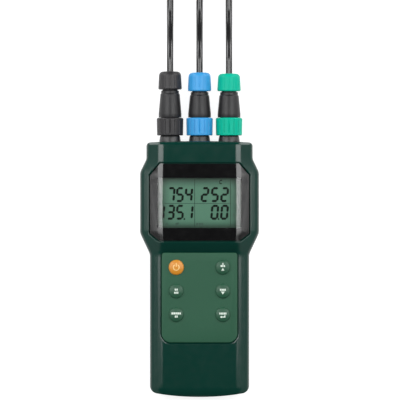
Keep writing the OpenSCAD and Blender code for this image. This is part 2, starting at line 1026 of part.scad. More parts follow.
front_case();
back_case();
case_gasket();
display_window();
lcd_glass();
lcd_frame();
zebra_strips();
main_board();
board_components();
keypad_panel();
key_power();
key_mode();
key_set();
key_up();
key_down();
key_enter();
battery_cover();
battery_gasket();
batteries();
battery_contacts();
screws();
board_screws();
socket_do();
socket_ec();
socket_ph();
socket_pins();
do_plug();
do_contacts();
do_nut();
do_gland();
do_cord();
do_hank();
do_tail();
do_tie();
do_boot();
do_probe();
do_tip();
ec_plug();
ec_contacts();
ec_nut();
ec_gland();
ec_cord();
ec_hank();
ec_tail();
ec_tie();
ec_boot();
ec_probe();
ec_tip();
ph_plug();
ph_contacts();
ph_nut();
ph_gland();
ph_cord();
ph_hank();
ph_tail();
ph_tie();
ph_boot();
ph_probe();
ph_tip();
ph_cap();
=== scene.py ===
"""The looks of a handheld water quality meter and its three probe leads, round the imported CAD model.

The helpers take millimetres: x across, y from the meter's lower end, z up from the surface it lies on.
"""

import math

import bmesh
import bpy
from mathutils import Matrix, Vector
from mathutils.bvhtree import BVHTree


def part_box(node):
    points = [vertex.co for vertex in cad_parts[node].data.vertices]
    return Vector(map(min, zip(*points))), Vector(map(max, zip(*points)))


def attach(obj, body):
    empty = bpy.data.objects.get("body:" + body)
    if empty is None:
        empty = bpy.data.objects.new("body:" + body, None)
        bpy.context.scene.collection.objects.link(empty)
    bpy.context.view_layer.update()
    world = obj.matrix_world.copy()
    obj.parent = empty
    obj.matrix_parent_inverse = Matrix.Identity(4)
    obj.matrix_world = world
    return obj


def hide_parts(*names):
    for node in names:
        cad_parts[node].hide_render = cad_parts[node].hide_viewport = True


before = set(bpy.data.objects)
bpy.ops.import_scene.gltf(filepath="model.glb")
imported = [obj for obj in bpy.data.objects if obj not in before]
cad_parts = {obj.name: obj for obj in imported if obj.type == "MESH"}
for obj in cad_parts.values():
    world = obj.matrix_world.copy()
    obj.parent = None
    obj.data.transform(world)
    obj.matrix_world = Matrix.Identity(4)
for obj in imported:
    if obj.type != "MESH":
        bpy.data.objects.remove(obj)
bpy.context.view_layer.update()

MM = 0.001
METER_LEN = 214.9          # from the lower end to the tip of the longest gland nut
PITCH = 19.45              # between the sockets
AXIS_Z = 20.0              # height of the socket axes
LEADS = ("do", "ec", "ph")


def at(x, y, z):
    """A place in the row frame, in metres."""
    return Vector((x * MM, (y - METER_LEN / 2) * MM, z * MM))


# ---------------------------------------------------------------- camera, floor and light

VIEW_WIDE = 263.8          # what the picture takes in, across
VIEW_CENTRE = (0.3, 130.0)
CAMERA_UP = 5000.0
SHARP_Z = 25.0             # the height at which VIEW_WIDE is measured


def add_camera():
    data = bpy.data.cameras.new("camera")
    data.sensor_width = 36
    data.lens = 36 * (CAMERA_UP - SHARP_Z) / VIEW_WIDE
    data.clip_end = 20
    cam = bpy.data.objects.new("camera", data)
    bpy.context.collection.objects.link(cam)
    cam.location = at(*VIEW_CENTRE, CAMERA_UP)
    bpy.context.scene.camera = cam


add_camera()


def plain(name, colour, rough):
    mat = bpy.data.materials.new(name)
    mat.use_nodes = True
    shader = mat.node_tree.nodes["Principled BSDF"]
    shader.inputs["Base Color"].default_value = (*colour, 1)
    shader.inputs["Roughness"].default_value = rough
    return mat


FLOOR_SIZE = 12            # metres


def add_floor():
    """A white light table, so that shadows on it stay faint."""
    bpy.ops.mesh.primitive_plane_add(size=FLOOR_SIZE, location=(0, 0, 0))
    floor = bpy.context.object
    floor.name = "floor"
    mat = plain("floor_white", (0.3, 0.3, 0.3), 0.9)
    shader = mat.node_tree.nodes["Principled BSDF"]
    shader.inputs["Emission Color"].default_value = (1, 1, 1, 1)
    shader.inputs["Emission Strength"].default_value = 0.85
    floor.data.materials.append(mat)


def add_softbox(name, place, target, wide, high, radiance):
    """A rectangular lamp, in metres, that faces its target."""
    data = bpy.data.lights.new(name, "AREA")
    data.shape = "RECTANGLE"
    data.size = wide
    data.size_y = high
    data.energy = radiance * math.pi * wide * high
    lamp = bpy.data.objects.new(name, data)
    bpy.context.collection.objects.link(lamp)
    lamp.location = place
    lamp.rotation_mode = "QUATERNION"
    lamp.rotation_quaternion = (Vector(target) - Vector(place)).to_track_quat("-Z", "Y")


CEILING, WALLS = 0.08, 0.56      # how bright the room is overhead and at its two sides
WALL_TOP = (0.80, 0.60)          # z of the directions between which the ceiling turns into a wall
WALL_SIDE = (0.25, 0.60)         # and their distance from the middle, across


def graded(tree, value, ends, to):
    """value, taken smoothly from one pair of ends to the other."""
    ramp = tree.nodes.new("ShaderNodeMapRange")
    ramp.interpolation_type = "SMOOTHSTEP"
    for socket, number in zip(("From Min", "From Max", "To Min", "To Max"), (*ends, *to)):
        ramp.inputs[socket].default_value = number
    tree.links.new(value, ramp.inputs["Value"])
    return ramp.outputs["Result"]


def worked(tree, operation, *values):
    """A Math node on one or two values."""
    node = tree.nodes.new("ShaderNodeMath")
    node.operation = operation
    for i, value in enumerate(values):
        tree.links.new(value, node.inputs[i])
    return node.outputs[0]


def add_light():
    """A dark ceiling between two pale walls, with a long softbox and a low one on either side."""
    world = bpy.data.worlds.new("studio")
    world.use_nodes = True
    tree = world.node_tree
    tree.nodes["Background"].inputs["Color"].default_value = (1, 1, 1, 1)
    way = tree.nodes.new("ShaderNodeTexCoord")
    parts = tree.nodes.new("ShaderNodeSeparateXYZ")
    tree.links.new(way.outputs["Generated"], parts.inputs[0])
    low = graded(tree, parts.outputs["Z"], WALL_TOP, (0, 1))
    aside = graded(tree, worked(tree, "ABSOLUTE", parts.outputs["X"]), WALL_SIDE, (0, WALLS - CEILING))
    walls = worked(tree, "MULTIPLY", low, aside)
    strength = tree.nodes.new("ShaderNodeMath")
    strength.inputs[1].default_value = CEILING
    tree.links.new(walls, strength.inputs[0])
    tree.links.new(strength.outputs[0], tree.nodes["Background"].inputs["Strength"])
    bpy.context.scene.world = world
    for side in (-1, 1):
        add_softbox(f"softbox_{side}", (side * 0.82, 0.37, 1.5), (side * 0.3, 0.37, 0),
                    wide=0.8, high=1.15, radiance=5.4)
        add_softbox(f"softbox_low_{side}", (side * 1.2, 1.0, 0.6), (0, 0.2, 0),
                    wide=1.1, high=0.8, radiance=4.5)
    bpy.context.scene.view_settings.view_transform = "Standard"


add_floor()
add_light()

# ---------------------------------------------------------------- materials


def noise_at(tree, scale, detail, stretch):
    """A noise pattern in the row frame, in metres, stretched along its axes."""
    coords = tree.nodes.new("ShaderNodeTexCoord")
    mapping = tree.nodes.new("ShaderNodeMapping")
    mapping.inputs["Scale"].default_value = stretch
    pattern = tree.nodes.new("ShaderNodeTexNoise")
    pattern.inputs["Scale"].default_value = scale
    pattern.inputs["Detail"].default_value = detail
    tree.links.new(coords.outputs["Object"], mapping.inputs["Vector"])
    tree.links.new(mapping.outputs["Vector"], pattern.inputs["Vector"])
    return pattern.outputs["Fac"]


def spread_of(tree, fac, low, high):
    """The usual span of a noise pattern, mapped to low to high."""
    ramp = tree.nodes.new("ShaderNodeMapRange")
    ramp.inputs["From Min"].default_value = 0.3
    ramp.inputs["From Max"].default_value = 0.7
    ramp.inputs["To Min"].default_value = low
    ramp.inputs["To Max"].default_value = high
    tree.links.new(fac, ramp.inputs["Value"])
    return ramp.outputs["Result"]


def mixed(tree, fac, first, second):
    """A colour between first and second, each a fixed colour or another node's output."""
    mix = tree.nodes.new("ShaderNodeMix")
    mix.data_type = "RGBA"
    for name, colour in (("A", first), ("B", second)):
        if isinstance(colour, tuple):
            mix.inputs[name].default_value = (*colour, 1)
        else:
            tree.links.new(colour, mix.inputs[name])
    tree.links.new(fac, mix.inputs["Factor"])
    return mix.outputs["Result"]


def place_in(tree):
    """The x, y and z of a point of the surface, in the row frame."""
    coords = tree.nodes.new("ShaderNodeTexCoord")
    parts = tree.nodes.new("ShaderNodeSeparateXYZ")
    tree.links.new(coords.outputs["Object"], parts.inputs[0])
    return parts.outputs


def srgb(r, g, b):
    """A colour in 0 to 255 as the linear one that shaders take."""
    return tuple((c / 255 / 12.92) if c <= 10 else ((c / 255 + 0.055) / 1.055) ** 2.4 for c in (r, g, b))


def moulded(name, colour, rough, grain, grain_scale, vary, stretch=(1, 1, 1), metallic=0, specular=0.5):
    """A moulded surface: uneven tone, uneven gloss and a fine grain."""
    mat = plain(name, colour, rough)
    tree = mat.node_tree
    shader = tree.nodes["Principled BSDF"]
    shader.inputs["Metallic"].default_value = metallic
    shader.inputs["Specular IOR Level"].default_value = specular
    clouds = spread_of(tree, noise_at(tree, 60, 4, stretch), 0, 1)
    dark = tuple(c * (1 - vary) for c in colour)
    light = tuple(min(1, c * (1 + vary)) for c in colour)
    tree.links.new(mixed(tree, clouds, dark, light), shader.inputs["Base Color"])
    handled = spread_of(tree, noise_at(tree, 220, 5, stretch), max(0.03, rough - 0.025), rough + 0.03)
    tree.links.new(handled, shader.inputs["Roughness"])
    bump = tree.nodes.new("ShaderNodeBump")
    bump.inputs["Strength"].default_value = grain
    bump.inputs["Distance"].default_value = 0.0002
    tree.links.new(noise_at(tree, grain_scale, 2, stretch), bump.inputs["Height"])
    tree.links.new(bump.outputs["Normal"], shader.inputs["Normal"])
    return mat


MATS = {
    "case": moulded("case_plastic", srgb(1, 45, 37), 0.17, 0.03, 2600, 0.03, specular=0.45),
    "seal": moulded("seal_rubber", srgb(150, 154, 152), 0.6, 0.1, 2500, 0.08),
    "panel": moulded("keypad_silicone", srgb(29, 76, 54), 0.50, 0.08, 2200, 0.03, specular=0.3),
    "key": moulded("key_silicone", srgb(31, 74, 53), 0.42, 0.05, 2400, 0.03, specular=0.35),
    "power": moulded("power_key_silicone", srgb(192, 124, 26), 0.40, 0.05, 2400, 0.04),
    "print": moulded("printed_white", srgb(201, 214, 203), 0.5, 0.05, 3000, 0.04),
    "print_orange": moulded("printed_cream", srgb(227, 191, 124), 0.5, 0.05, 3000, 0.04),
    "lens": moulded("window_black", srgb(4, 4, 5), 0.12, 0.01, 500, 0.1, specular=0.6),
    "segment": moulded("lcd_dark", srgb(0, 9, 4), 0.5, 0.02, 3000, 0.1, specular=0.1),
    "faint": moulded("lcd_faint", srgb(65, 102, 85), 0.5, 0.02, 3000, 0.1),
    "line": moulded("lcd_line", srgb(21, 58, 44), 0.5, 0.02, 3000, 0.1),
    "socket": moulded("socket_plastic", srgb(27, 28, 29), 0.36, 0.06, 2500, 0.1),
    "plug": moulded("plug_plastic", srgb(26, 26, 28), 0.40, 0.06, 2400, 0.06, specular=0.35),
    "nut_do": moulded("nut_black", srgb(38, 37, 39), 0.42, 0.05, 2400, 0.06, specular=0.35),
    "nut_ec": moulded("nut_blue", srgb(48, 142, 201), 0.38, 0.04, 2400, 0.04, specular=0.35),
    "nut_ph": moulded("nut_green", srgb(0, 166, 138), 0.38, 0.04, 2400, 0.04, specular=0.12),
    "cable": moulded("cable_pvc", srgb(30, 30, 31), 0.17, 0.03, 1800, 0.05, (1, 0.2, 1), specular=0.6),
    "tie": moulded("tie_plastic", srgb(26, 26, 28), 0.5, 0.1, 2000, 0.1),
    "boot": moulded("boot_rubber", srgb(38, 38, 40), 0.62, 0.14, 2000, 0.1),
    "probe": moulded("probe_plastic", srgb(40, 41, 43), 0.24, 0.05, 1500, 0.1),
    "probe_blue": moulded("probe_epoxy", srgb(30, 78, 126), 0.18, 0.03, 1200, 0.1),
    "cap_grey": moulded("cap_acetal", srgb(190, 192, 192), 0.36, 0.05, 2200, 0.04),
    "cap_black": moulded("cap_rubber", srgb(24, 25, 27), 0.4, 0.08, 2200, 0.1),
    "steel": moulded("screw_steel", (0.52, 0.52, 0.54), 0.30, 0.06, 1800, 0.08, (1, 1, 8), metallic=1),
    "board": moulded("board_laminate", srgb(20, 92, 52), 0.4, 0.12, 700, 0.2),
    "parts": moulded("component_epoxy", srgb(30, 31, 33), 0.5, 0.08, 2600, 0.15),
    "frame": moulded("inner_plastic", srgb(30, 32, 34), 0.5, 0.08, 2400, 0.1),
    "zebra": moulded("zebra_rubber", srgb(214, 138, 158), 0.55, 0.2, 900, 0.1, (12, 1, 1)),
    "cell": moulded("cell_sleeve", srgb(176, 140, 70), 0.3, 0.03, 1500, 0.2, metallic=1),
    "nickel": moulded("contact_nickel", (0.6, 0.59, 0.56), 0.25, 0.05, 1500, 0.06, metallic=1),
    "gold": moulded("contact_gold", (0.83, 0.60, 0.22), 0.22, 0.04, 2000, 0.06, metallic=1),
}


# how far the rim's shadow reaches in: the axis, the end of the glass (0 low, 1 high) and millimetres
RIM_SHADOWS = (("X", 0, 10.4), ("X", 1, -11.4), ("Y", 0, 7.0), ("Y", 1, -9.5))


def lcd_glass():
    """Reflective display glass: grey green, in shadow towards its rim."""
    mat = moulded("lcd_glass", srgb(106, 157, 133), 0.35, 0.01, 400, 0.03, specular=0.3)
    tree = mat.node_tree
    colour = tree.nodes["Principled BSDF"].inputs["Base Color"]
    lit = colour.links[0].from_socket
    place = place_in(tree)
    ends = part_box("lcd_glass")
    ramps = []
    for axis, end, reach in RIM_SHADOWS:
        edge = ends[end]["XY".index(axis)]
        ramps.append(graded(tree, place[axis], (edge, edge + reach * MM), (0, 1)))
    across = worked(tree, "MULTIPLY", *ramps[:2])
    along = worked(tree, "MULTIPLY", *ramps[2:])
    inside = worked(tree, "MULTIPLY", across, along)
    tree.links.new(mixed(tree, inside, srgb(18, 30, 24), lit), colour)
    return mat


def clear_cover(name, rough):
    """Clear plastic: what is under it, with the gloss of its surface on top."""
    mat = bpy.data.materials.new(name)
    mat.use_nodes = True
    tree = mat.node_tree
    tree.nodes.remove(tree.nodes["Principled BSDF"])
    clear = tree.nodes.new("ShaderNodeBsdfTransparent")
    clear.inputs["Color"].default_value = (0.96, 0.97, 0.96, 1)
    gloss = tree.nodes.new("ShaderNodeBsdfGlossy")
    gloss.inputs["Roughness"].default_value = rough
    share = tree.nodes.new("ShaderNodeFresnel")
    share.inputs["IOR"].default_value = 1.5
    mix = tree.nodes.new("ShaderNodeMixShader")
    for i, source in enumerate((share, clear, gloss)):
        tree.links.new(source.outputs[0], mix.inputs[i])
    tree.links.new(mix.outputs[0], tree.nodes["Material Output"].inputs["Surface"])
    return mat


TIP_RINGS, TIP_RING_HALF = (514.0, 521.0), 1.2     # along y: the middles of the rings, and half their width
RING_METAL = (0.58, 0.57, 0.55)


def banded_tip():
    """The conductivity tip's epoxy, with its two metal rings."""
    mat = moulded("tip_epoxy", srgb(20, 21, 23), 0.3, 0.05, 1800, 0.1)
    tree = mat.node_tree
    shader = tree.nodes["Principled BSDF"]
    epoxy = shader.inputs["Base Color"].links[0].from_socket
    place = place_in(tree)
    rings = []
    for ring_y in TIP_RINGS:
        ring = tree.nodes.new("ShaderNodeMath")
        ring.operation = "COMPARE"
        ring.inputs[1].default_value = at(0, ring_y, 0).y
        ring.inputs[2].default_value = TIP_RING_HALF * MM
        tree.links.new(place["Y"], ring.inputs[0])
        rings.append(ring.outputs[0])
    metal = worked(tree, "MAXIMUM", *rings)
    tree.links.new(metal, shader.inputs["Metallic"])
    tree.links.new(mixed(tree, metal, epoxy, RING_METAL), shader.inputs["Base Color"])
    return mat


MATS["tip"] = banded_tip()
MATS["lcd"] = lcd_glass()
MATS["clear"] = clear_cover("window_clear", 0.1)
MATS["bulb"] = clear_cover("bulb_glass", 0.02)

# ---------------------------------------------------------------- outlines


def corner(a, b, c, radius, steps):
    """The round of a radius in the corner b between a and c."""
    a, b, c = Vector(a), Vector(b), Vector(c)
    u, v = (a - b).normalized(), (c - b).normalized()
    half = u.angle(v) / 2
    middle = b + (u + v).normalized() * radius / math.sin(half)
    start, end = b + u * radius / math.tan(half) - middle, b + v * radius / math.tan(half) - middle
    first = math.atan2(start.y, start.x)
    turn = (math.atan2(end.y, end.x) - first + math.pi) % (2 * math.pi) - math.pi
    angles = [first + turn * i / steps for i in range(steps + 1)]
    return [(middle.x + radius * math.cos(a), middle.y + radius * math.sin(a)) for a in angles]


def rounded(points, steps=8, closed=False):
    """A path of (x, y, radius) points with its corners rounded."""
    out = []
    last = len(points) - 1
    for i, (x, y, radius) in enumerate(points):
        if radius == 0 or (not closed and i in (0, last)):
            out.append((x, y))
        else:
            before, after = points[i - 1], points[(i + 1) % len(points)]
            out += corner(before[:2], (x, y), after[:2], radius, steps)
    return out


def circle(x, y, radius, count):
    """A round outline of count points."""
    angles = [2 * math.pi * i / count for i in range(count)]
    return [(x + radius * math.cos(a), y + radius * math.sin(a)) for a in angles]


def bar(x0, y0, x1, y1):
    return [(x0, y0), (x1, y0), (x1, y1), (x0, y1)]


def both_sides(half):
    """A closed outline from its right-hand half, which starts and ends on x = 0."""
    return half + [(-x, y) for x, y in reversed(half) if x > 0.001]


def shallow(x, span, sag):
    """Height at x of a shallow arc that rises by sag at span."""
    radius = (span * span + sag * sag) / (2 * sag)
    return radius - math.sqrt(radius * radius - x * x)


CASE_LEN = 169.0
HEAD, HANDLE, TOP = 39.2, 32.7, 35.05      # half widths of the head, the handle and the upper end
LOW_SAG, TOP_SAG = 3.2, 0.8                # how far the two ends bow out


def case_outline(inset):
    """The case seen from the front, moved in by inset."""
    e = inset
    low_x = [i * (HANDLE - 6 - e) / 12 for i in range(12)]
    low = [(x, e + shallow(x, HANDLE, LOW_SAG)) for x in low_x]
    side = rounded([(HANDLE - 6 - e, 2.1 + e, 0), (HANDLE - e, 3 + e, 5.2 - e), (HANDLE - e, 94.2, 8),
                    (HEAD - e, 108.1, 8), (HEAD - e, 148.5, 8), (TOP - e, 157, 6),
                    (TOP - e, CASE_LEN - 1.1 - e, 2.6 - e / 2), (TOP - 4 - e, CASE_LEN - TOP_SAG - e, 0)], 12)
    high_x = [i * (TOP - 6 - e) / 10 for i in range(10, -1, -1)]
    high = [(x, CASE_LEN - e - shallow(x, TOP - 4, TOP_SAG)) for x in high_x]
    return both_sides(low + side + high)


LENS_T, LENS_DEPTH, LENS_GAP = 1.6, 1.7, 0.6       # thickness, depth of the recess, gap round the window


def lens_outline(grow):
    """The window's recess, moved out by grow."""
    return both_sides(rounded([(0, 102.8 - grow, 0), (26.8 + grow / 2, 102.8 - grow, 1.5),
                               (33.2 + grow, 107.7 - grow / 2, 1.5), (33.2 + grow, 146.5 + grow / 2, 1.5),
                               (26.3 + grow / 2, 154.3 + grow, 1.5), (0, 154.3 + grow, 0)]))


def panel_outline(grow):
    """The keypad, moved out by grow."""
    return both_sides(rounded([(0, 36.2 - grow, 0), (24.9 + grow, 36.2 - grow, 6 + grow),
                               (24.9 + grow, 95.4 + grow, 2 + grow), (0, 95.4 + grow, 0)]))


# ---------------------------------------------------------------- mesh helpers


def show(mesh, name, mat, body, replaces, smooth=35):
    """Links a mesh as a piece that rides on a CAD body. Edges sharper than smooth, in degrees, stay sharp."""
    obj = bpy.data.objects.new(name, mesh)
    bpy.context.collection.objects.link(obj)
    mesh.materials.append(MATS[mat])
    if smooth:
        mesh.shade_smooth()
        mesh.set_sharp_from_angle(angle=math.radians(smooth))
    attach(obj, body)
    if replaces:
        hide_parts(*replaces)
    return obj


def solid(name, verts, faces):
    """A closed mesh from points in the helpers' millimetres, with its faces turned outwards."""
    bm = bmesh.new()
    made = [bm.verts.new(at(*v)) for v in verts]
    for f in faces:
        bm.faces.new([made[i] for i in f])
    bmesh.ops.recalc_face_normals(bm, faces=bm.faces)
    mesh = bpy.data.meshes.new(name)
    bm.to_mesh(mesh)
    bm.free()
    return mesh


def stacked(name, rings, closed=False):
    """A mesh through rings of equal length. closed joins its two ends, which are capped otherwise."""
    n, m = len(rings[0]), len(rings)
    verts = [p for ring in rings for p in ring]
    faces = []
    for j in range(m if closed else m - 1):
        a, b = j * n, (j + 1) % m * n
        faces += [(a + i, a + (i + 1) % n, b + (i + 1) % n, b + i) for i in range(n)]
    if not closed:
        faces += [tuple(range(n - 1, -1, -1)), tuple((m - 1) * n + i for i in range(n))]
    return solid(name, verts, faces)


def prism(name, outline, z0, z1):
    return stacked(name, [[(x, y, z) for x, y in outline] for z in (z0, z1)])


def eased(name, shape, z0, z1, ease, both=False):
    """A prism whose top edge, or both edges, is rounded off by ease. shape(inset) gives its outline."""
    angles = [math.pi / 2 * i / 4 for i in range(5)]
    quarter = [(ease * (1 - math.cos(a)), ease * math.sin(a)) for a in angles]
    rings = [(e, z1 - ease + h) for e, h in quarter]
    if both:
        rings = [(e, z0 + ease - h) for e, h in reversed(quarter)] + rings
    else:
        rings = [(0, z0)] + rings
    return stacked(name, [[(x, y, z) for x, y in shape(e)] for e, z in rings])


def cut(mesh, *steps):
    """mesh after boolean steps, each ("DIFFERENCE" or "INTERSECT", other mesh)."""
    obj = bpy.data.objects.new("cutting", mesh)
    bpy.context.collection.objects.link(obj)
    others = []
    for kind, other in steps:
        tool = bpy.data.objects.new("tool", other)
        bpy.context.collection.objects.link(tool)
        others.append(tool)
        mod = obj.modifiers.new("cut", "BOOLEAN")
        mod.operation = kind
        mod.solver = "EXACT"
        mod.object = tool
    bpy.context.view_layer.update()
    done = bpy.data.meshes.new_from_object(obj.evaluated_get(bpy.context.evaluated_depsgraph_get()))
    done.materials.clear()
    for o in [obj, *others]:
        bpy.data.objects.remove(o)
    return done


def lathe(name, path, x, z, turns, shape=None, closed=False):
    """A solid turned about the line along Y through x, z, from (radius, y) points.
    shape(angle, radius, y) may change the radius. closed is for a path that is a loop clear of the axis."""
    rings = []
    for r, y in path:
        ring = []
        for i in range(turns):
            a = 2 * math.pi * i / turns
            q = max(r, 0.01) if shape is None else shape(a, max(r, 0.01), y)
            ring.append((x + q * math.sin(a), y, z + q * math.cos(a)))
        rings.append(ring)
    return stacked(name, rings, closed)


def rod(name, y0, y1, r, x, z):
    return lathe(name, [(r, y0), (r, y1)], x, z, 48)


def post(name, x, y, z0, z1, r):
    return prism(name, circle(x, y, r, 64), z0, z1)


def block(name, a, b):
    return prism(name, bar(*a[:2], *b[:2]), a[2], b[2])


def split_sides(path, wide):
    """A lathe's closed path with its long sides beyond the radius wide cut into short steps."""
    fine = []
    for i, (r, y) in enumerate(path):
        r2, y2 = path[(i + 1) % len(path)]
        steps = max(1, int(abs(y2 - y) / 0.8)) if r > wide and r2 > wide else 1
        fine += [(r + (r2 - r) * k / steps, y + (y2 - y) * k / steps) for k in range(steps)]
    return fine


# ---------------------------------------------------------------- cables


def s_curve(t, span, rise):
    """From 0 to 1 along an S of two equal arcs."""
    radius = (span * span + rise * rise) / (4 * rise)
    d = (t if t < 0.5 else 1 - t) * span
    h = (radius - math.sqrt(radius * radius - d * d)) / rise
    return h if t < 0.5 else 1 - h


def s_extra(span, rise):
    """What the same S adds to the length of its plan."""
    radius = (span * span + rise * rise) / (4 * rise)
    return 4 * radius * math.atan(rise / span) - span


CORD_D, CORD_LEN, TURNS = 4.4, 1000.0, 5
CORD_START, BOOT_Y = 206.2, 380.0          # where a cable starts in its plug and where it meets the boot
SAG_Y0, SAG_SPAN = 217.0, 44.0             # the S down to the surface
SIDE_Y0, SIDE_SPAN = 262.0, 28.0           # the S to one side, for a lead whose hank stands aside
OUT_SPAN = 34.0                            # the S from the hank to the probe
FLOOR_Z = 1 + CORD_D / 2
TOP_Z = FLOOR_Z + TURNS * CORD_D
SAG = AXIS_Z - FLOOR_Z
# gland: both ends of the gland nut; fold: radius of the hank's ends; hank_x, side: the hank's place from
# the cable; hank_y: its lower end; run: how far the cable moves aside; z: height of the probe's axis
LEAD = {
    "do": dict(gland=(202.7, 214.9), fold=13.5, hank_x=-13.5, side=-1, hank_y=286, run=0, z=8.5),
    "ec": dict(gland=(201.6, 214.2), fold=13.0, hank_x=0, side=-1, hank_y=290, run=13, z=7.5),
    "ph": dict(gland=(201.6, 213.5), fold=13.5, hank_x=13.5, side=1, hank_y=286, run=0, z=8.5),
}


def straight_of(lead):
    """The straight part of a lead's hank, from the cable's length."""
    s = LEAD[lead]
    drop = math.hypot(s["run"], TOP_Z - s["z"])
    extra = s_extra(SAG_SPAN, SAG) + s_extra(OUT_SPAN, drop)
    if s["run"]:
        extra += s_extra(SIDE_SPAN, s["run"])
    coiled = CORD_LEN - (BOOT_Y - s["gland"][1]) - extra
    return (coiled - TURNS * 2 * math.pi * s["fold"]) / (2 * TURNS)


def hank_turn(lead, turn):
    """One turn of a hank: up one side, over, down the other side while it rises by a cable, and under."""
    s = LEAD[lead]
    run, y0, side, fold = s["run"], s["hank_y"], s["side"], s["fold"]
    long = straight_of(lead)
    z = FLOOR_Z + turn * CORD_D
    folds = [math.pi * i / 12 for i in range(1, 12)]
    up = [(run, y0 + long * i / 4, z) for i in range(5)]
    over = [(run + side * fold * (1 - math.cos(a)), y0 + long + fold * math.sin(a), z) for a in folds]
    down = [(run + side * 2 * fold, y0 + long * (1 - i / 6), z + CORD_D * (3 - 2 * i / 6) * (i / 6) ** 2)
            for i in range(7)]
    under = [(run + side * fold * (1 + math.cos(a)), y0 - fold * math.sin(a), z + CORD_D) for a in folds]
    return up + over + down + under


def cable_route(lead):
    """Out of the gland nut, down to the surface, round the hank and on to the probe."""
    s = LEAD[lead]
    run, y0, long = s["run"], s["hank_y"], straight_of(lead)
    fall = TOP_Z - s["z"]
    drop = math.hypot(run, fall)
    points = [(0, CORD_START, AXIS_Z), (0, 212, AXIS_Z)]
    points += [(0, SAG_Y0 + SAG_SPAN * i / 12, AXIS_Z - SAG * s_curve(i / 12, SAG_SPAN, SAG))
               for i in range(13)]
    if run:
        points += [(run * s_curve(i / 10, SIDE_SPAN, run), SIDE_Y0 + SIDE_SPAN * i / 10, FLOOR_Z)
                   for i in range(1, 10)]
    else:
        points += [(0, 270, FLOOR_Z), (0, 278, FLOOR_Z)]
    for turn in range(TURNS):
        points += hank_turn(lead, turn)
    points += [(run, y0 + long * i / 4, TOP_Z) for i in range(5)]
    for i in range(11):
        done = s_curve(i / 10, OUT_SPAN, drop)
        points.append((run * (1 - done), BOOT_Y - OUT_SPAN + OUT_SPAN * i / 10, TOP_Z - fall * done))
    x = socket_x(lead)
    return [at(x + p[0], p[1], p[2]) for p in points]


def socket_x(lead):
    return (LEADS.index(lead) - 1) * PITCH


def add_cable(lead):
    data = bpy.data.curves.new(f"{lead}_cable", "CURVE")
    data.dimensions = "3D"
    data.bevel_depth = CORD_D / 2 * MM
    data.bevel_resolution = 5
    data.use_fill_caps = True
    points = cable_route(lead)
    line = data.splines.new("POLY")
    line.points.add(len(points) - 1)
    for p, place in zip(line.points, points):
        p.co = (*place, 1)
    data.materials.append(MATS["cable"])
    obj = bpy.data.objects.new(f"{lead}_cable", data)
    bpy.context.collection.objects.link(obj)
    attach(obj, f"{lead}_lead")
    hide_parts(f"{lead}_cord", f"{lead}_hank", f"{lead}_tail")
    return obj


cables = {lead: add_cable(lead) for lead in LEADS}

# ---------------------------------------------------------------- case

PLATEAU, PLATEAU_R = 25.6, 10.0            # half width of the flat front, and the round at its edges
HEAD_Z, HANDLE_Z, WALL = 43.4, 40.4, 2.4
SEAM = 0.4                                 # how far the halves stand back from the seal's rim
SEAL_Z = (19.7, 20.3)
SOCKET_R = 7.2                             # of the openings for the sockets
# y, half width, height of the flat front and height of its side edges
FRONT = [
    (-1, HANDLE, 35.4, 32.4), (0, HANDLE, 37.2, 34.2), (1, HANDLE, 38.6, 35.4), (2, HANDLE, 39.4, 36.2),
    (3.5, HANDLE, 40.0, 36.8), (5, HANDLE, 40.3, 37.1), (7, HANDLE, HANDLE_Z, 37.2),
    (92, HANDLE, HANDLE_Z, 37.2), (94.2, HANDLE + 0.1, HANDLE_Z, 37.2),
    (96, HANDLE + 0.85, HANDLE_Z + 0.1, 37.2),
    (98, HANDLE + 1.75, HANDLE_Z + 0.8, 37.25), (100.4, HANDLE + 2.85, HEAD_Z - 0.8, 37.35),
    (102.4, HEAD - 2.7, HEAD_Z - 0.05, 37.4), (106, HEAD - 1.1, HEAD_Z, 37.5),
    (108.1, HEAD - 0.2, HEAD_Z, 37.5), (110, HEAD, HEAD_Z, 37.5), (147, HEAD, HEAD_Z, 37.5),
    (149, HEAD - 0.25, HEAD_Z, 37.5), (153, HEAD - 2.2, HEAD_Z, 37.95), (156, TOP + 0.5, HEAD_Z, 38.35),
    (158, TOP, HEAD_Z, 38.4), (166, TOP, HEAD_Z, 38.4), (167, TOP, HEAD_Z - 0.25, 38.2),
    (167.8, TOP, HEAD_Z - 0.8, 37.7), (168.4, TOP, HEAD_Z - 1.6, 36.9), (169.2, TOP, HEAD_Z - 3.2, 35.4),
    (170, TOP, HEAD_Z - 5, 33.6),
]


def under_front(name, inset, drop=0.0):
    """Everything under the front surface, moved in by inset or lowered by drop."""
    e = inset
    rings = []
    for y, half, crest, side in FRONT:
        path = rounded([(half - e, 5, 0), (half - e, side - e, 4.5 - e),
                        (PLATEAU - e / 3, crest - e, PLATEAU_R), (e / 3 - PLATEAU, crest - e, PLATEAU_R),
                        (e - half, side - e, 4.5 - e), (e - half, 5, 0)], 10)
        rings.append([(x, y, z - drop) for x, z in path])
    return stacked(name, rings)


# y, half width and lowest height of the back
BACK = [
    (-1, HANDLE, 5), (0, HANDLE, 3.2), (1, HANDLE, 2), (2.2, HANDLE, 1), (3.5, HANDLE, 0.5),
    (5, HANDLE, 0.15), (7, HANDLE, 0), (93, HANDLE, 0), (96, HANDLE + 0.85, 0), (106, HEAD - 1.1, 0),
    (110, HEAD, 0), (147, HEAD, 0), (150, HEAD - 0.7, 0), (156, TOP + 0.4, 0), (158, TOP, 0), (163, TOP, 0),
    (165.5, TOP, 0.6), (167, TOP, 1.4), (168.5, TOP, 2.8), (170, TOP, 4.6),
]


def over_back(name, inset):
    """Everything over the back surface, moved in by inset."""
    e = inset
    rings = []
    for y, half, low in BACK:
        path = rounded([(e - half, 35, 0), (e - half, low + e, 6 - e), (half - e, low + e, 6 - e),
                        (half - e, 35, 0)], 10)
        rings.append([(x, y, z) for x, z in path])
    return stacked(name, rings)


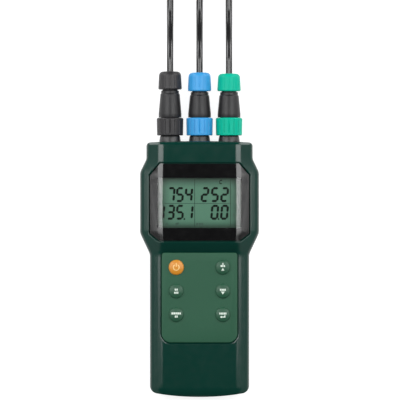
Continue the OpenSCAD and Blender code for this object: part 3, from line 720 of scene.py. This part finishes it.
def minus(*cutters):
    return [("DIFFERENCE", cutter) for cutter in cutters]


def socket_holes():
    """The cutters of the three round openings at the upper end."""
    return minus(*[rod("socket_hole", 150, 175, SOCKET_R, socket_x(lead), AXIS_Z) for lead in LEADS])


def shell(name, z0, z1, skin, hollow):
    """Steps that cut a half of the case to its skin and hollow it out."""
    room = cut(prism(name, case_outline(SEAM + WALL), z0, z1), ("INTERSECT", hollow))
    return [("INTERSECT", skin), ("DIFFERENCE", room)]


KEY_X, KEY_ROWS = 15.3, (85.7, 70.1, 54.6)
KEY_SPOTS = {"key_power": (-KEY_X, KEY_ROWS[0]), "key_mode": (-KEY_X, KEY_ROWS[1]),
             "key_set": (-KEY_X, KEY_ROWS[2]), "key_up": (KEY_X, KEY_ROWS[0]),
             "key_down": (KEY_X, KEY_ROWS[1]), "key_enter": (KEY_X, KEY_ROWS[2])}


def recess_cutter():
    """The keypad's recess, with a broad bevel round its rim."""
    rings = [(0.1, 39.0), (0.1, HANDLE_Z - 0.8), (0.5, HANDLE_Z - 0.5), (1.9, HANDLE_Z + 0.02),
             (2.0, HANDLE_Z + 4)]
    return stacked("recess", [[(x, y, z) for x, y in panel_outline(grow)] for grow, z in rings])


def height_of(mesh):
    """A function of x and y that gives the height of a mesh's top surface."""
    bm = bmesh.new()
    bm.from_mesh(mesh)
    tree = BVHTree.FromBMesh(bm)
    bm.free()
    return lambda x, y: tree.ray_cast(at(x, y, 90), Vector((0, 0, -1)))[0].z / MM


def finer(outlines, step):
    """Closed outlines of equal count, with points added to each alike, until they are at most step apart."""
    out = [[] for outline in outlines]
    for i in range(len(outlines[0])):
        ends = [(Vector(o[i]), Vector(o[(i + 1) % len(o)])) for o in outlines]
        n = max(1, math.ceil(max((b - a).length for a, b in ends) / step))
        for fine, (a, b) in zip(out, ends):
            fine += [tuple(a.lerp(b, k / n)) for k in range(n)]
    return out


LIP = 0.8                  # how far the rim of the window's recess is rounded


def lens_recess():
    """The window's recess: its floor follows the front surface, and its rim is rounded over into it."""
    height = height_of(under_front("lip_surface", 0))
    angles = [math.pi / 10 * i for i in range(6)]
    arc = [(LIP * (1 - math.cos(a)), LIP * (1 - math.sin(a))) for a in angles]
    outlines = finer([lens_outline(grow) for grow, drop in arc], 1.5)
    rings = [[(x, y, 30) for x, y in outlines[0]]]
    for outline, (grow, drop) in zip(outlines, arc):
        rings.append([(x, y, height(x, y) - drop + 0.01) for x, y in outline])
    rings.append([(x, y, z + 5) for x, y, z in rings[-1]])
    return cut(stacked("lens_recess", rings), ("DIFFERENCE", under_front("lens_floor", 0, LENS_DEPTH)))


def soften(obj, width):
    """Rounds off the sharp edges of a piece, and keeps its broad faces flat to the light."""
    mod = obj.modifiers.new("soften", "BEVEL")
    mod.width = width * MM
    mod.segments = 2
    mod.limit_method = "ANGLE"
    mod.angle_limit = math.radians(42)
    mod.use_clamp_overlap = True
    flat = obj.modifiers.new("flat", "WEIGHTED_NORMAL")
    flat.keep_sharp = True


DISPLAY_HOLE = ((-30.4, 105.6, 30), (30.4, 150.8, 50))
KEY_HOLE_R = 5.4


def add_front():
    steps = shell("hollow", 15, 49, under_front("front_skin", 0), under_front("hollow_skin", WALL))
    steps += minus(lens_recess(), block("display_hole", *DISPLAY_HOLE), recess_cutter())
    steps += minus(*[post("key_hole", x, y, 30, 50, KEY_HOLE_R) for x, y in KEY_SPOTS.values()])
    steps += socket_holes()
    mesh = cut(prism("front", case_outline(SEAM), SEAL_Z[1], 50), *steps)
    obj = show(mesh, "case_front", "case", "meter", ["front_case"], 30)
    soften(obj, 0.25)


COVER = (26.0, 22.0, 88.0)          # half width and both ends of the battery cover
COVER_SCREWS = (25.6, 84.4)         # along y
CASE_SCREWS = ((24.5, 11.5), (33.0, 142.0))
SCREW_HEAD_R = 3                    # of the holes that the case screws' heads sink into
BATTERY_BAY = ((-22.6, 30.2, 1), (22.6, 80.2, 6))


def add_back():
    half, low, high = COVER
    steps = shell("back_hollow", 4.4, 30, over_back("back_skin", 0), over_back("back_hollow_skin", WALL))
    steps += minus(block("cover_recess", (-half - 0.2, low - 0.2, -1), (half + 0.2, high + 0.2, 2.4)),
                   block("battery_bay", *BATTERY_BAY))
    for x, y in CASE_SCREWS:
        steps += minus(*[post("counterbore", side * x, y, -1, 14, SCREW_HEAD_R) for side in (-1, 1)])
    steps += socket_holes()
    mesh = cut(prism("back", case_outline(SEAM), -1, SEAL_Z[0]), *steps)
    obj = show(mesh, "case_back", "case", "meter", ["back_case"], 30)
    soften(obj, 0.25)


def add_seal():
    inner = prism("seal_in", case_outline(SEAM + 1.7), 19, 21)
    mesh = cut(prism("seal", case_outline(0), *SEAL_Z), *minus(inner), *socket_holes())
    show(mesh, "case_seal", "seal", "meter", ["case_gasket"])


# ---------------------------------------------------------------- window and display

VIEW_X, VIEW_Y = 27.7, (111.6, 144.7)      # half width and both ends of the window's clear area


def add_window():
    whole = cut(prism("lens", lens_outline(-LENS_GAP), 30, 50),
                ("INTERSECT", under_front("lens_top", 0, LENS_DEPTH - LENS_T)),
                ("DIFFERENCE", under_front("lens_under", 0, LENS_DEPTH)))
    corners = bar(-VIEW_X, VIEW_Y[0], VIEW_X, VIEW_Y[1])
    view = prism("view", rounded([(x, y, 0.8) for x, y in corners], 4, True), 30, 50)
    border = cut(whole.copy(), ("DIFFERENCE", view.copy()))
    clear = cut(whole, ("INTERSECT", view))
    show(border, "window_border", "lens", "meter", ["display_window"], 30)
    show(clear, "window_clear", "clear", "meter", (), 30)


# the lit bars of each character, named as usual from a at the top, clockwise, to g in the middle
SEGMENTS = {"0": "abcdef", "1": "bc", "2": "abged", "3": "abgcd", "4": "fgbc", "5": "afgcd", "7": "abc",
            "C": "afed"}
SLANT = 0.09


def segment(kind, w, h, t):
    """A bar of a seven-segment digit, as a six-cornered outline in a box of w by h, for strokes t thick."""
    gap = 0.09 * t
    a, b = t / 2, h / 2
    spots = {"a": ((a, h - a), (w - a, h - a)), "g": ((a, b), (w - a, b)), "d": ((a, a), (w - a, a)),
             "f": ((a, b), (a, h - a)), "b": ((w - a, b), (w - a, h - a)),
             "e": ((a, a), (a, b)), "c": ((w - a, a), (w - a, b))}
    (x0, y0), (x1, y1) = spots[kind]
    along = Vector((x1 - x0, y1 - y0)).normalized()
    across = Vector((-along.y, along.x))
    p = Vector((x0, y0)) + along * gap
    q = Vector((x1, y1)) - along * gap
    point, side = along * a * 0.8, across * a
    corners = [p, p + point + side, q - point + side, q, q - point - side, p + point - side]
    return [(c.x, c.y) for c in corners]


def digit(char, x, y, w, h, t):
    """Outlines of one slanted character with its lower left corner at x, y."""
    return [[(x + px + SLANT * py, y + py) for px, py in segment(k, w, h, t)] for k in SEGMENTS[char]]


def dot(x, y, radius):
    return circle(x, y, radius, 12)


def many(name, outlines, z0, z1):
    """One mesh of many thin prisms."""
    bm = bmesh.new()
    for outline in outlines:
        part = prism(name, outline, z0, z1)
        bm.from_mesh(part)
        bpy.data.meshes.remove(part)
    mesh = bpy.data.meshes.new(name)
    bm.to_mesh(mesh)
    bm.free()
    return mesh


GLASS = ((-28.4, 110.0), (28.4, 146.6))
GLASS_TOP = 40.2
DIGIT = (5.3, 9.9, 1.5)                    # width, height and stroke
UPPER_ROW, LOWER_ROW = 128.6, 117.0
READINGS = (("754", (-21.8, -16.0, -10.2), UPPER_ROW), ("252", (0.5, 7.0, 13.4), UPPER_ROW),
            ("1351", (-28.6, -22.0, -16.0, -9.9), LOWER_ROW), ("00", (6.9, 13.3), LOWER_ROW))
UNIT_SIGN = ("C", 12.9, 140.4, 2.2, 2.9, 0.6)
POINTS = ((-10.0, 117.5, 0.6), (12.5, 117.5, 0.6))
LINES = ((-3.4, 111.8, -3.05, 144.6), (20.2, 111.8, 20.55, 144.6), (-27.6, 127.55, 20.2, 127.85))
SIGNS_X, SIGNS_Y = (-25.2, -23.6, -22.0, -15.8, -2.2, -0.5, 1.2), (113.0, 114.9)


def add_marks(name, mat, outlines, rise):
    """Thin marks that stand above the display glass by rise."""
    mesh = many(name, outlines, GLASS_TOP - 0.05, GLASS_TOP + rise)
    show(mesh, f"display_{name}", mat, "meter", (), 0)


def add_display():
    (x0, y0), (x1, y1) = GLASS
    glass = eased("glass", lambda e: bar(x0 + e, y0 + e, x1 - e, y1 - e), 38.0, GLASS_TOP, 0.2)
    show(glass, "display_glass", "lcd", "meter", ["lcd_glass"])
    digits = []
    for text, places, y in READINGS:
        for char, x in zip(text, places):
            digits += digit(char, x, y, *DIGIT)
    digits += digit(*UNIT_SIGN)
    digits += [dot(*point) for point in POINTS]
    add_marks("digits", "segment", digits, 0.06)
    add_marks("lines", "line", [bar(*line) for line in LINES], 0.04)
    signs = [bar(x, SIGNS_Y[0], x + 1.2, SIGNS_Y[1]) for x in SIGNS_X]
    signs += [bar(21.9, 119.3, 23.3, 120.8), bar(23.9, 120.4, 24.6, 122.6), dot(-14.2, 114.6, 0.7)]
    add_marks("signs", "faint", signs, 0.03)


# ---------------------------------------------------------------- keypad

KEY_TOP, KEY_RISE = 42.5, 0.9              # top of a key, and how far it domes
POWER_R, KEY_R = 5.0, 4.85
KEY_GAP = 0.03                             # between a key and the panel's hole


def key_height(r, key_r):
    """Height of a key's domed top at a distance from its axis."""
    return KEY_TOP - shallow(r, key_r, KEY_RISE)


def key_radius(name):
    return POWER_R if name == "key_power" else KEY_R


def add_panel():
    holes = [post("hole", x, y, 30, 50, key_radius(name) + KEY_GAP) for name, (x, y) in KEY_SPOTS.items()]
    mesh = cut(eased("panel", lambda e: panel_outline(-e), 39, 41, 0.55), *minus(*holes))
    show(mesh, "keypad", "panel", "meter", ["keypad_panel"], 30)


def add_key(name, x, y, r, mat):
    """A key turned about its axis: its foot, the flange under the panel, its side and its domed top."""
    dome_r = [r * math.sin(math.radians(a)) for a in range(64, -1, -8)]
    dome = [(q, key_height(q, r)) for q in dome_r]
    path = [(0, 35.0), (2, 35.0), (2, 36.3), (6.2, 36.3), (6.2, 37.3), (r, 37.3), (r, KEY_TOP - 1.5),
            (r * 0.99, KEY_TOP - 1.25), (r * 0.965, KEY_TOP - 1.05), (r * 0.93, KEY_TOP - 0.88)] + dome
    rings = [[(px, py, z) for px, py in circle(x, y, max(q, 0.01), 72)] for q, z in path]
    show(stacked(name, rings), f"{name}_cap", mat, f"{name}_body", [name], 40)


def on_key(name, outlines, x, y, key_r, mat, label):
    """Prints outlines, in millimetres from the key's axis, on its domed top."""
    bm = bmesh.new()
    for outline in outlines:
        fine = []
        for i, (px, py) in enumerate(outline):
            qx, qy = outline[(i + 1) % len(outline)]
            steps = max(1, int(math.hypot(qx - px, qy - py) / 0.5))
            fine += [(px + (qx - px) * k / steps, py + (qy - py) * k / steps) for k in range(steps)]
        face = bm.faces.new([bm.verts.new(at(x + px, y + py, key_height(math.hypot(px, py), key_r) + 0.02))
                             for px, py in fine])
        face.normal_update()
        if face.normal.z < 0:
            face.normal_flip()
    bmesh.ops.triangulate(bm, faces=bm.faces)
    grown = bmesh.ops.extrude_face_region(bm, geom=list(bm.faces))
    low = [v for v in grown["geom"] if isinstance(v, bmesh.types.BMVert)]
    bmesh.ops.translate(bm, verts=low, vec=(0, 0, -0.05 * MM))
    bmesh.ops.recalc_face_normals(bm, faces=bm.faces)
    mesh = bpy.data.meshes.new(label)
    bm.to_mesh(mesh)
    bm.free()
    show(mesh, label, mat, f"{name}_body", (), 0)


def arc_band(r, t, start, end, n=24):
    """A band of a circle, from start to end in degrees."""
    angles = [math.radians(start + (end - start) * i / n) for i in range(n + 1)]
    return ([((r + t / 2) * math.cos(a), (r + t / 2) * math.sin(a)) for a in angles]
            + [((r - t / 2) * math.cos(a), (r - t / 2) * math.sin(a)) for a in reversed(angles)])


def dashes(widths, y0, y1, gap=0.22):
    """A centred row of short bars, in the place of a word."""
    x = -(sum(widths) + gap * (len(widths) - 1)) / 2
    out = []
    for w in widths:
        out.append(bar(x, y0, x + w, y1))
        x += w + gap
    return out


ICONS = {
    "key_power": [arc_band(1.9, 0.6, -240, 60), bar(-0.3, 0.5, 0.3, 2.7)],
    "key_mode": dashes((0.9, 0.9), 0.3, 1.6) + dashes((1.0, 0.6, 0.8), -1.7, -0.4),
    "key_set": dashes((1.0, 1.2, 0.9, 1.2, 1.0), 0.2, 1.5) + dashes((0.9, 0.8), -1.9, -0.5),
    "key_up": [[(-0.7, 1.9), (0.7, 1.9), (0, 3.0)]] + dashes((0.9, 0.7, 0.9), 0.3, 1.5)
    + [[(-1.1, -2.1), (1.1, -2.1), (0, -0.4)]],
    "key_down": dashes((0.9, 0.8, 0.7, 0.8), 0.2, 1.5) + [[(-1.3, -0.3), (0, -2.2), (1.3, -0.3)]],
    "key_enter": dashes((0.6, 0.9, 0.8, 0.9, 0.6), 0.1, 1.4)
    + [[(-1.9, -1.5), (-0.7, -0.6), (-0.7, -1.15), (1.0, -1.15), (1.0, -0.3), (1.7, -0.3), (1.7, -1.85),
        (-0.7, -1.85), (-0.7, -2.4)]],
}


def add_keys():
    for name, (x, y) in KEY_SPOTS.items():
        power = name == "key_power"
        r = key_radius(name)
        add_key(name, x, y, r, "power" if power else "key")
        on_key(name, ICONS[name], x, y, r, "print_orange" if power else "print", f"{name}_mark")


add_front()
add_back()
add_seal()
add_window()
add_display()
add_panel()
add_keys()

# ---------------------------------------------------------------- sockets, plugs and nuts


def add_socket(lead):
    path = rounded([(0.01, 156, 0), (5.8, 156, 0.3), (5.8, 163, 0), (8.6, 163, 0.3), (8.6, 165, 0.3),
                    (7.1, 165, 0), (7.1, 168.8, 0.5), (6.65, 171.9, 0.4), (6.1, 172.4, 0.3), (6.1, 173, 0.2),
                    (7.2, 173.4, 0), (7.2, 180.2, 0.3), (5, 180.2, 0.3), (5, 170, 0), (0.01, 170, 0)], 3)
    mesh = lathe("socket", path, socket_x(lead), AXIS_Z, 72)
    show(mesh, f"{lead}_socket", "socket", "meter", [f"socket_{lead}"])


def add_nut(lead):
    """The coupling nut: sixteen broad ribs with slots between them, and a plain lip at each end."""
    outer = 8.8
    path = rounded([(7.4, 172.6, 0.2), (outer - 0.2, 172.6, 0.5), (outer, 183.8, 0.7), (7.9, 184.3, 0.3),
                    (6.1, 184.3, 0.2), (6.1, 181.6, 0), (7.4, 181.6, 0)], 4, True)

    def ribbed(a, r, y):
        if r < 8.2:
            return r
        ends = min(1, max(0, (y - 173.2) / 0.7)) * min(1, max(0, (183.6 - y) / 0.7))
        groove = max(0, 1 - abs(math.sin(a * 8)) / 0.34) ** 0.6
        return r - 0.42 * groove * ends

    mesh = lathe("nut", split_sides(path, 8), socket_x(lead), AXIS_Z, 224, ribbed, True)
    show(mesh, f"{lead}_coupling_nut", f"nut_{lead}", f"{lead}_nut_body", [f"{lead}_nut"], 40)


def add_plug(lead):
    y = LEAD[lead]["gland"][0]
    path = rounded([(0.01, 171, 0), (4.9, 171, 0.3), (4.9, 180.6, 0), (7.2, 180.6, 0.1), (7.2, 181.4, 0.1),
                    (6, 181.4, 0), (6, 184.5, 0), (7.5, 184.5, 0.3), (7.55, 186.8, 0.8), (6.4, y - 2.9, 0.6),
                    (5.9, y - 2.2, 0.2), (5.9, y - 0.6, 0.2), (5, y - 0.3, 0),
                    (5, 206, 0.3), (0.01, 206, 0)], 4)
    mesh = lathe("plug", path, socket_x(lead), AXIS_Z, 96)
    show(mesh, f"{lead}_plug_body", "plug", f"{lead}_lead", [f"{lead}_plug"])


def add_gland(lead):
    """The gland nut: a full dome with shallow flutes round it and a lip at its foot."""
    y0, y1 = LEAD[lead]["gland"]
    path = rounded([(5.1, y0 + 0.2, 0.1), (7.3, y0 + 0.2, 0.4), (7.75, y0 + 0.9, 0.3), (7.15, y1 - 0.15, 2.7),
                    (3.2, y1, 0.5), (2.3, y1, 0.1), (2.3, 206.3, 0), (5.1, 206.3, 0)], 7, True)

    def fluted(a, r, y):
        if r < 6.2:
            return r
        ends = min(1, max(0, (y - y0 - 1.2) / 0.8)) * min(1, max(0, (y1 - 2.2 - y) / 2.2))
        return r - 0.26 * max(0, 1 - abs(math.sin(a * 7)) / 0.4) * ends

    mesh = lathe("gland", split_sides(path, 6), socket_x(lead), AXIS_Z, 200, fluted, True)
    show(mesh, f"{lead}_gland_nut", f"nut_{lead}", f"{lead}_lead", [f"{lead}_gland"], 45)


# ---------------------------------------------------------------- ties, boots and probes


def add_tie(lead):
    """A moulded strap round the hank's outer run."""
    s = LEAD[lead]
    x = socket_x(lead) + s["hank_x"] + s["side"] * s["fold"]
    y = s["hank_y"] + straight_of(lead) / 2
    r, top = CORD_D / 2, 1 + (TURNS + 1) * CORD_D

    def loop(grow, along):
        low, high = 1 - grow, top + grow
        near, far = x - r - grow, x + r + grow
        path = rounded([(near, low, 0.6), (far, low, 0.6), (far, high, 1.4), (near, high, 1.4)], 5, True)
        return [(px, y + along, pz) for px, pz in path]

    rings = [loop(0.08, -4.8), loop(0.6, -5), loop(0.8, -4.6), loop(0.8, 4.6), loop(0.6, 5), loop(0.08, 4.8)]
    show(stacked("tie", rings, True), f"{lead}_strap", "tie", f"{lead}_lead", [f"{lead}_tie"])


def add_boot(lead):
    """The probe's bend protector, cut into rings that let it flex."""
    z = LEAD[lead]["z"]
    path = [(0.01, BOOT_Y), (3.4, BOOT_Y), (3.9, BOOT_Y + 0.6)]
    for i in range(6):
        y = BOOT_Y + 2 + i * 2.5
        big = 3.9 + (z - 2.2 - 3.9) * (y - BOOT_Y) / 17
        path += [(big, y), (big - 0.8, y + 0.25), (big - 0.8, y + 0.95), (big + 0.1, y + 1.2)]
    path += [(z - 2.2, BOOT_Y + 17.6), (z - 1.4, BOOT_Y + 18), (z - 0.7, BOOT_Y + 21.6), (0.01, BOOT_Y + 22)]
    mesh = lathe("boot", path, socket_x(lead), z, 64)
    show(mesh, f"{lead}_bend_boot", "boot", f"{lead}_lead", [f"{lead}_boot"])


for lead_name in LEADS:
    add_socket(lead_name)
    add_nut(lead_name)
    add_plug(lead_name)
    add_gland(lead_name)
    add_tie(lead_name)
    add_boot(lead_name)

# ---------------------------------------------------------------- battery cover and the CAD pieces that stay


def add_cover():
    half, low, high = COVER
    mesh = eased("cover", lambda e: bar(-half + e, low + e, half - e, high - e), 0, 2, 0.3, both=True)
    steps = minus(*[block("grip", (-12, 62 + i * 2.2, -1), (12, 63 + i * 2.2, 0.4)) for i in range(8)])
    for y in COVER_SCREWS:
        steps += minus(post("seat", 0, y, -1, 1.4, 2.9), post("bore", 0, y, -1, 5, 1.6))
    obj = show(cut(mesh, *steps), "battery_door", "case", "meter", ["battery_cover"])
    soften(obj, 0.15)


add_cover()

KEPT = {"lcd_frame": "frame", "zebra_strips": "zebra", "main_board": "board", "board_components": "parts",
        "battery_gasket": "boot", "batteries": "cell", "battery_contacts": "nickel", "screws": "steel",
        "board_screws": "steel", "socket_pins": "gold", "do_contacts": "gold", "ec_contacts": "gold",
        "ph_contacts": "gold", "do_probe": "probe", "ec_probe": "probe", "ph_probe": "probe_blue",
        "do_tip": "cap_grey", "ec_tip": "tip", "ph_tip": "bulb", "ph_cap": "cap_black"}
for node, mat_name in KEPT.items():
    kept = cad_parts[node]
    kept.data.materials.clear()
    kept.data.materials.append(MATS[mat_name])
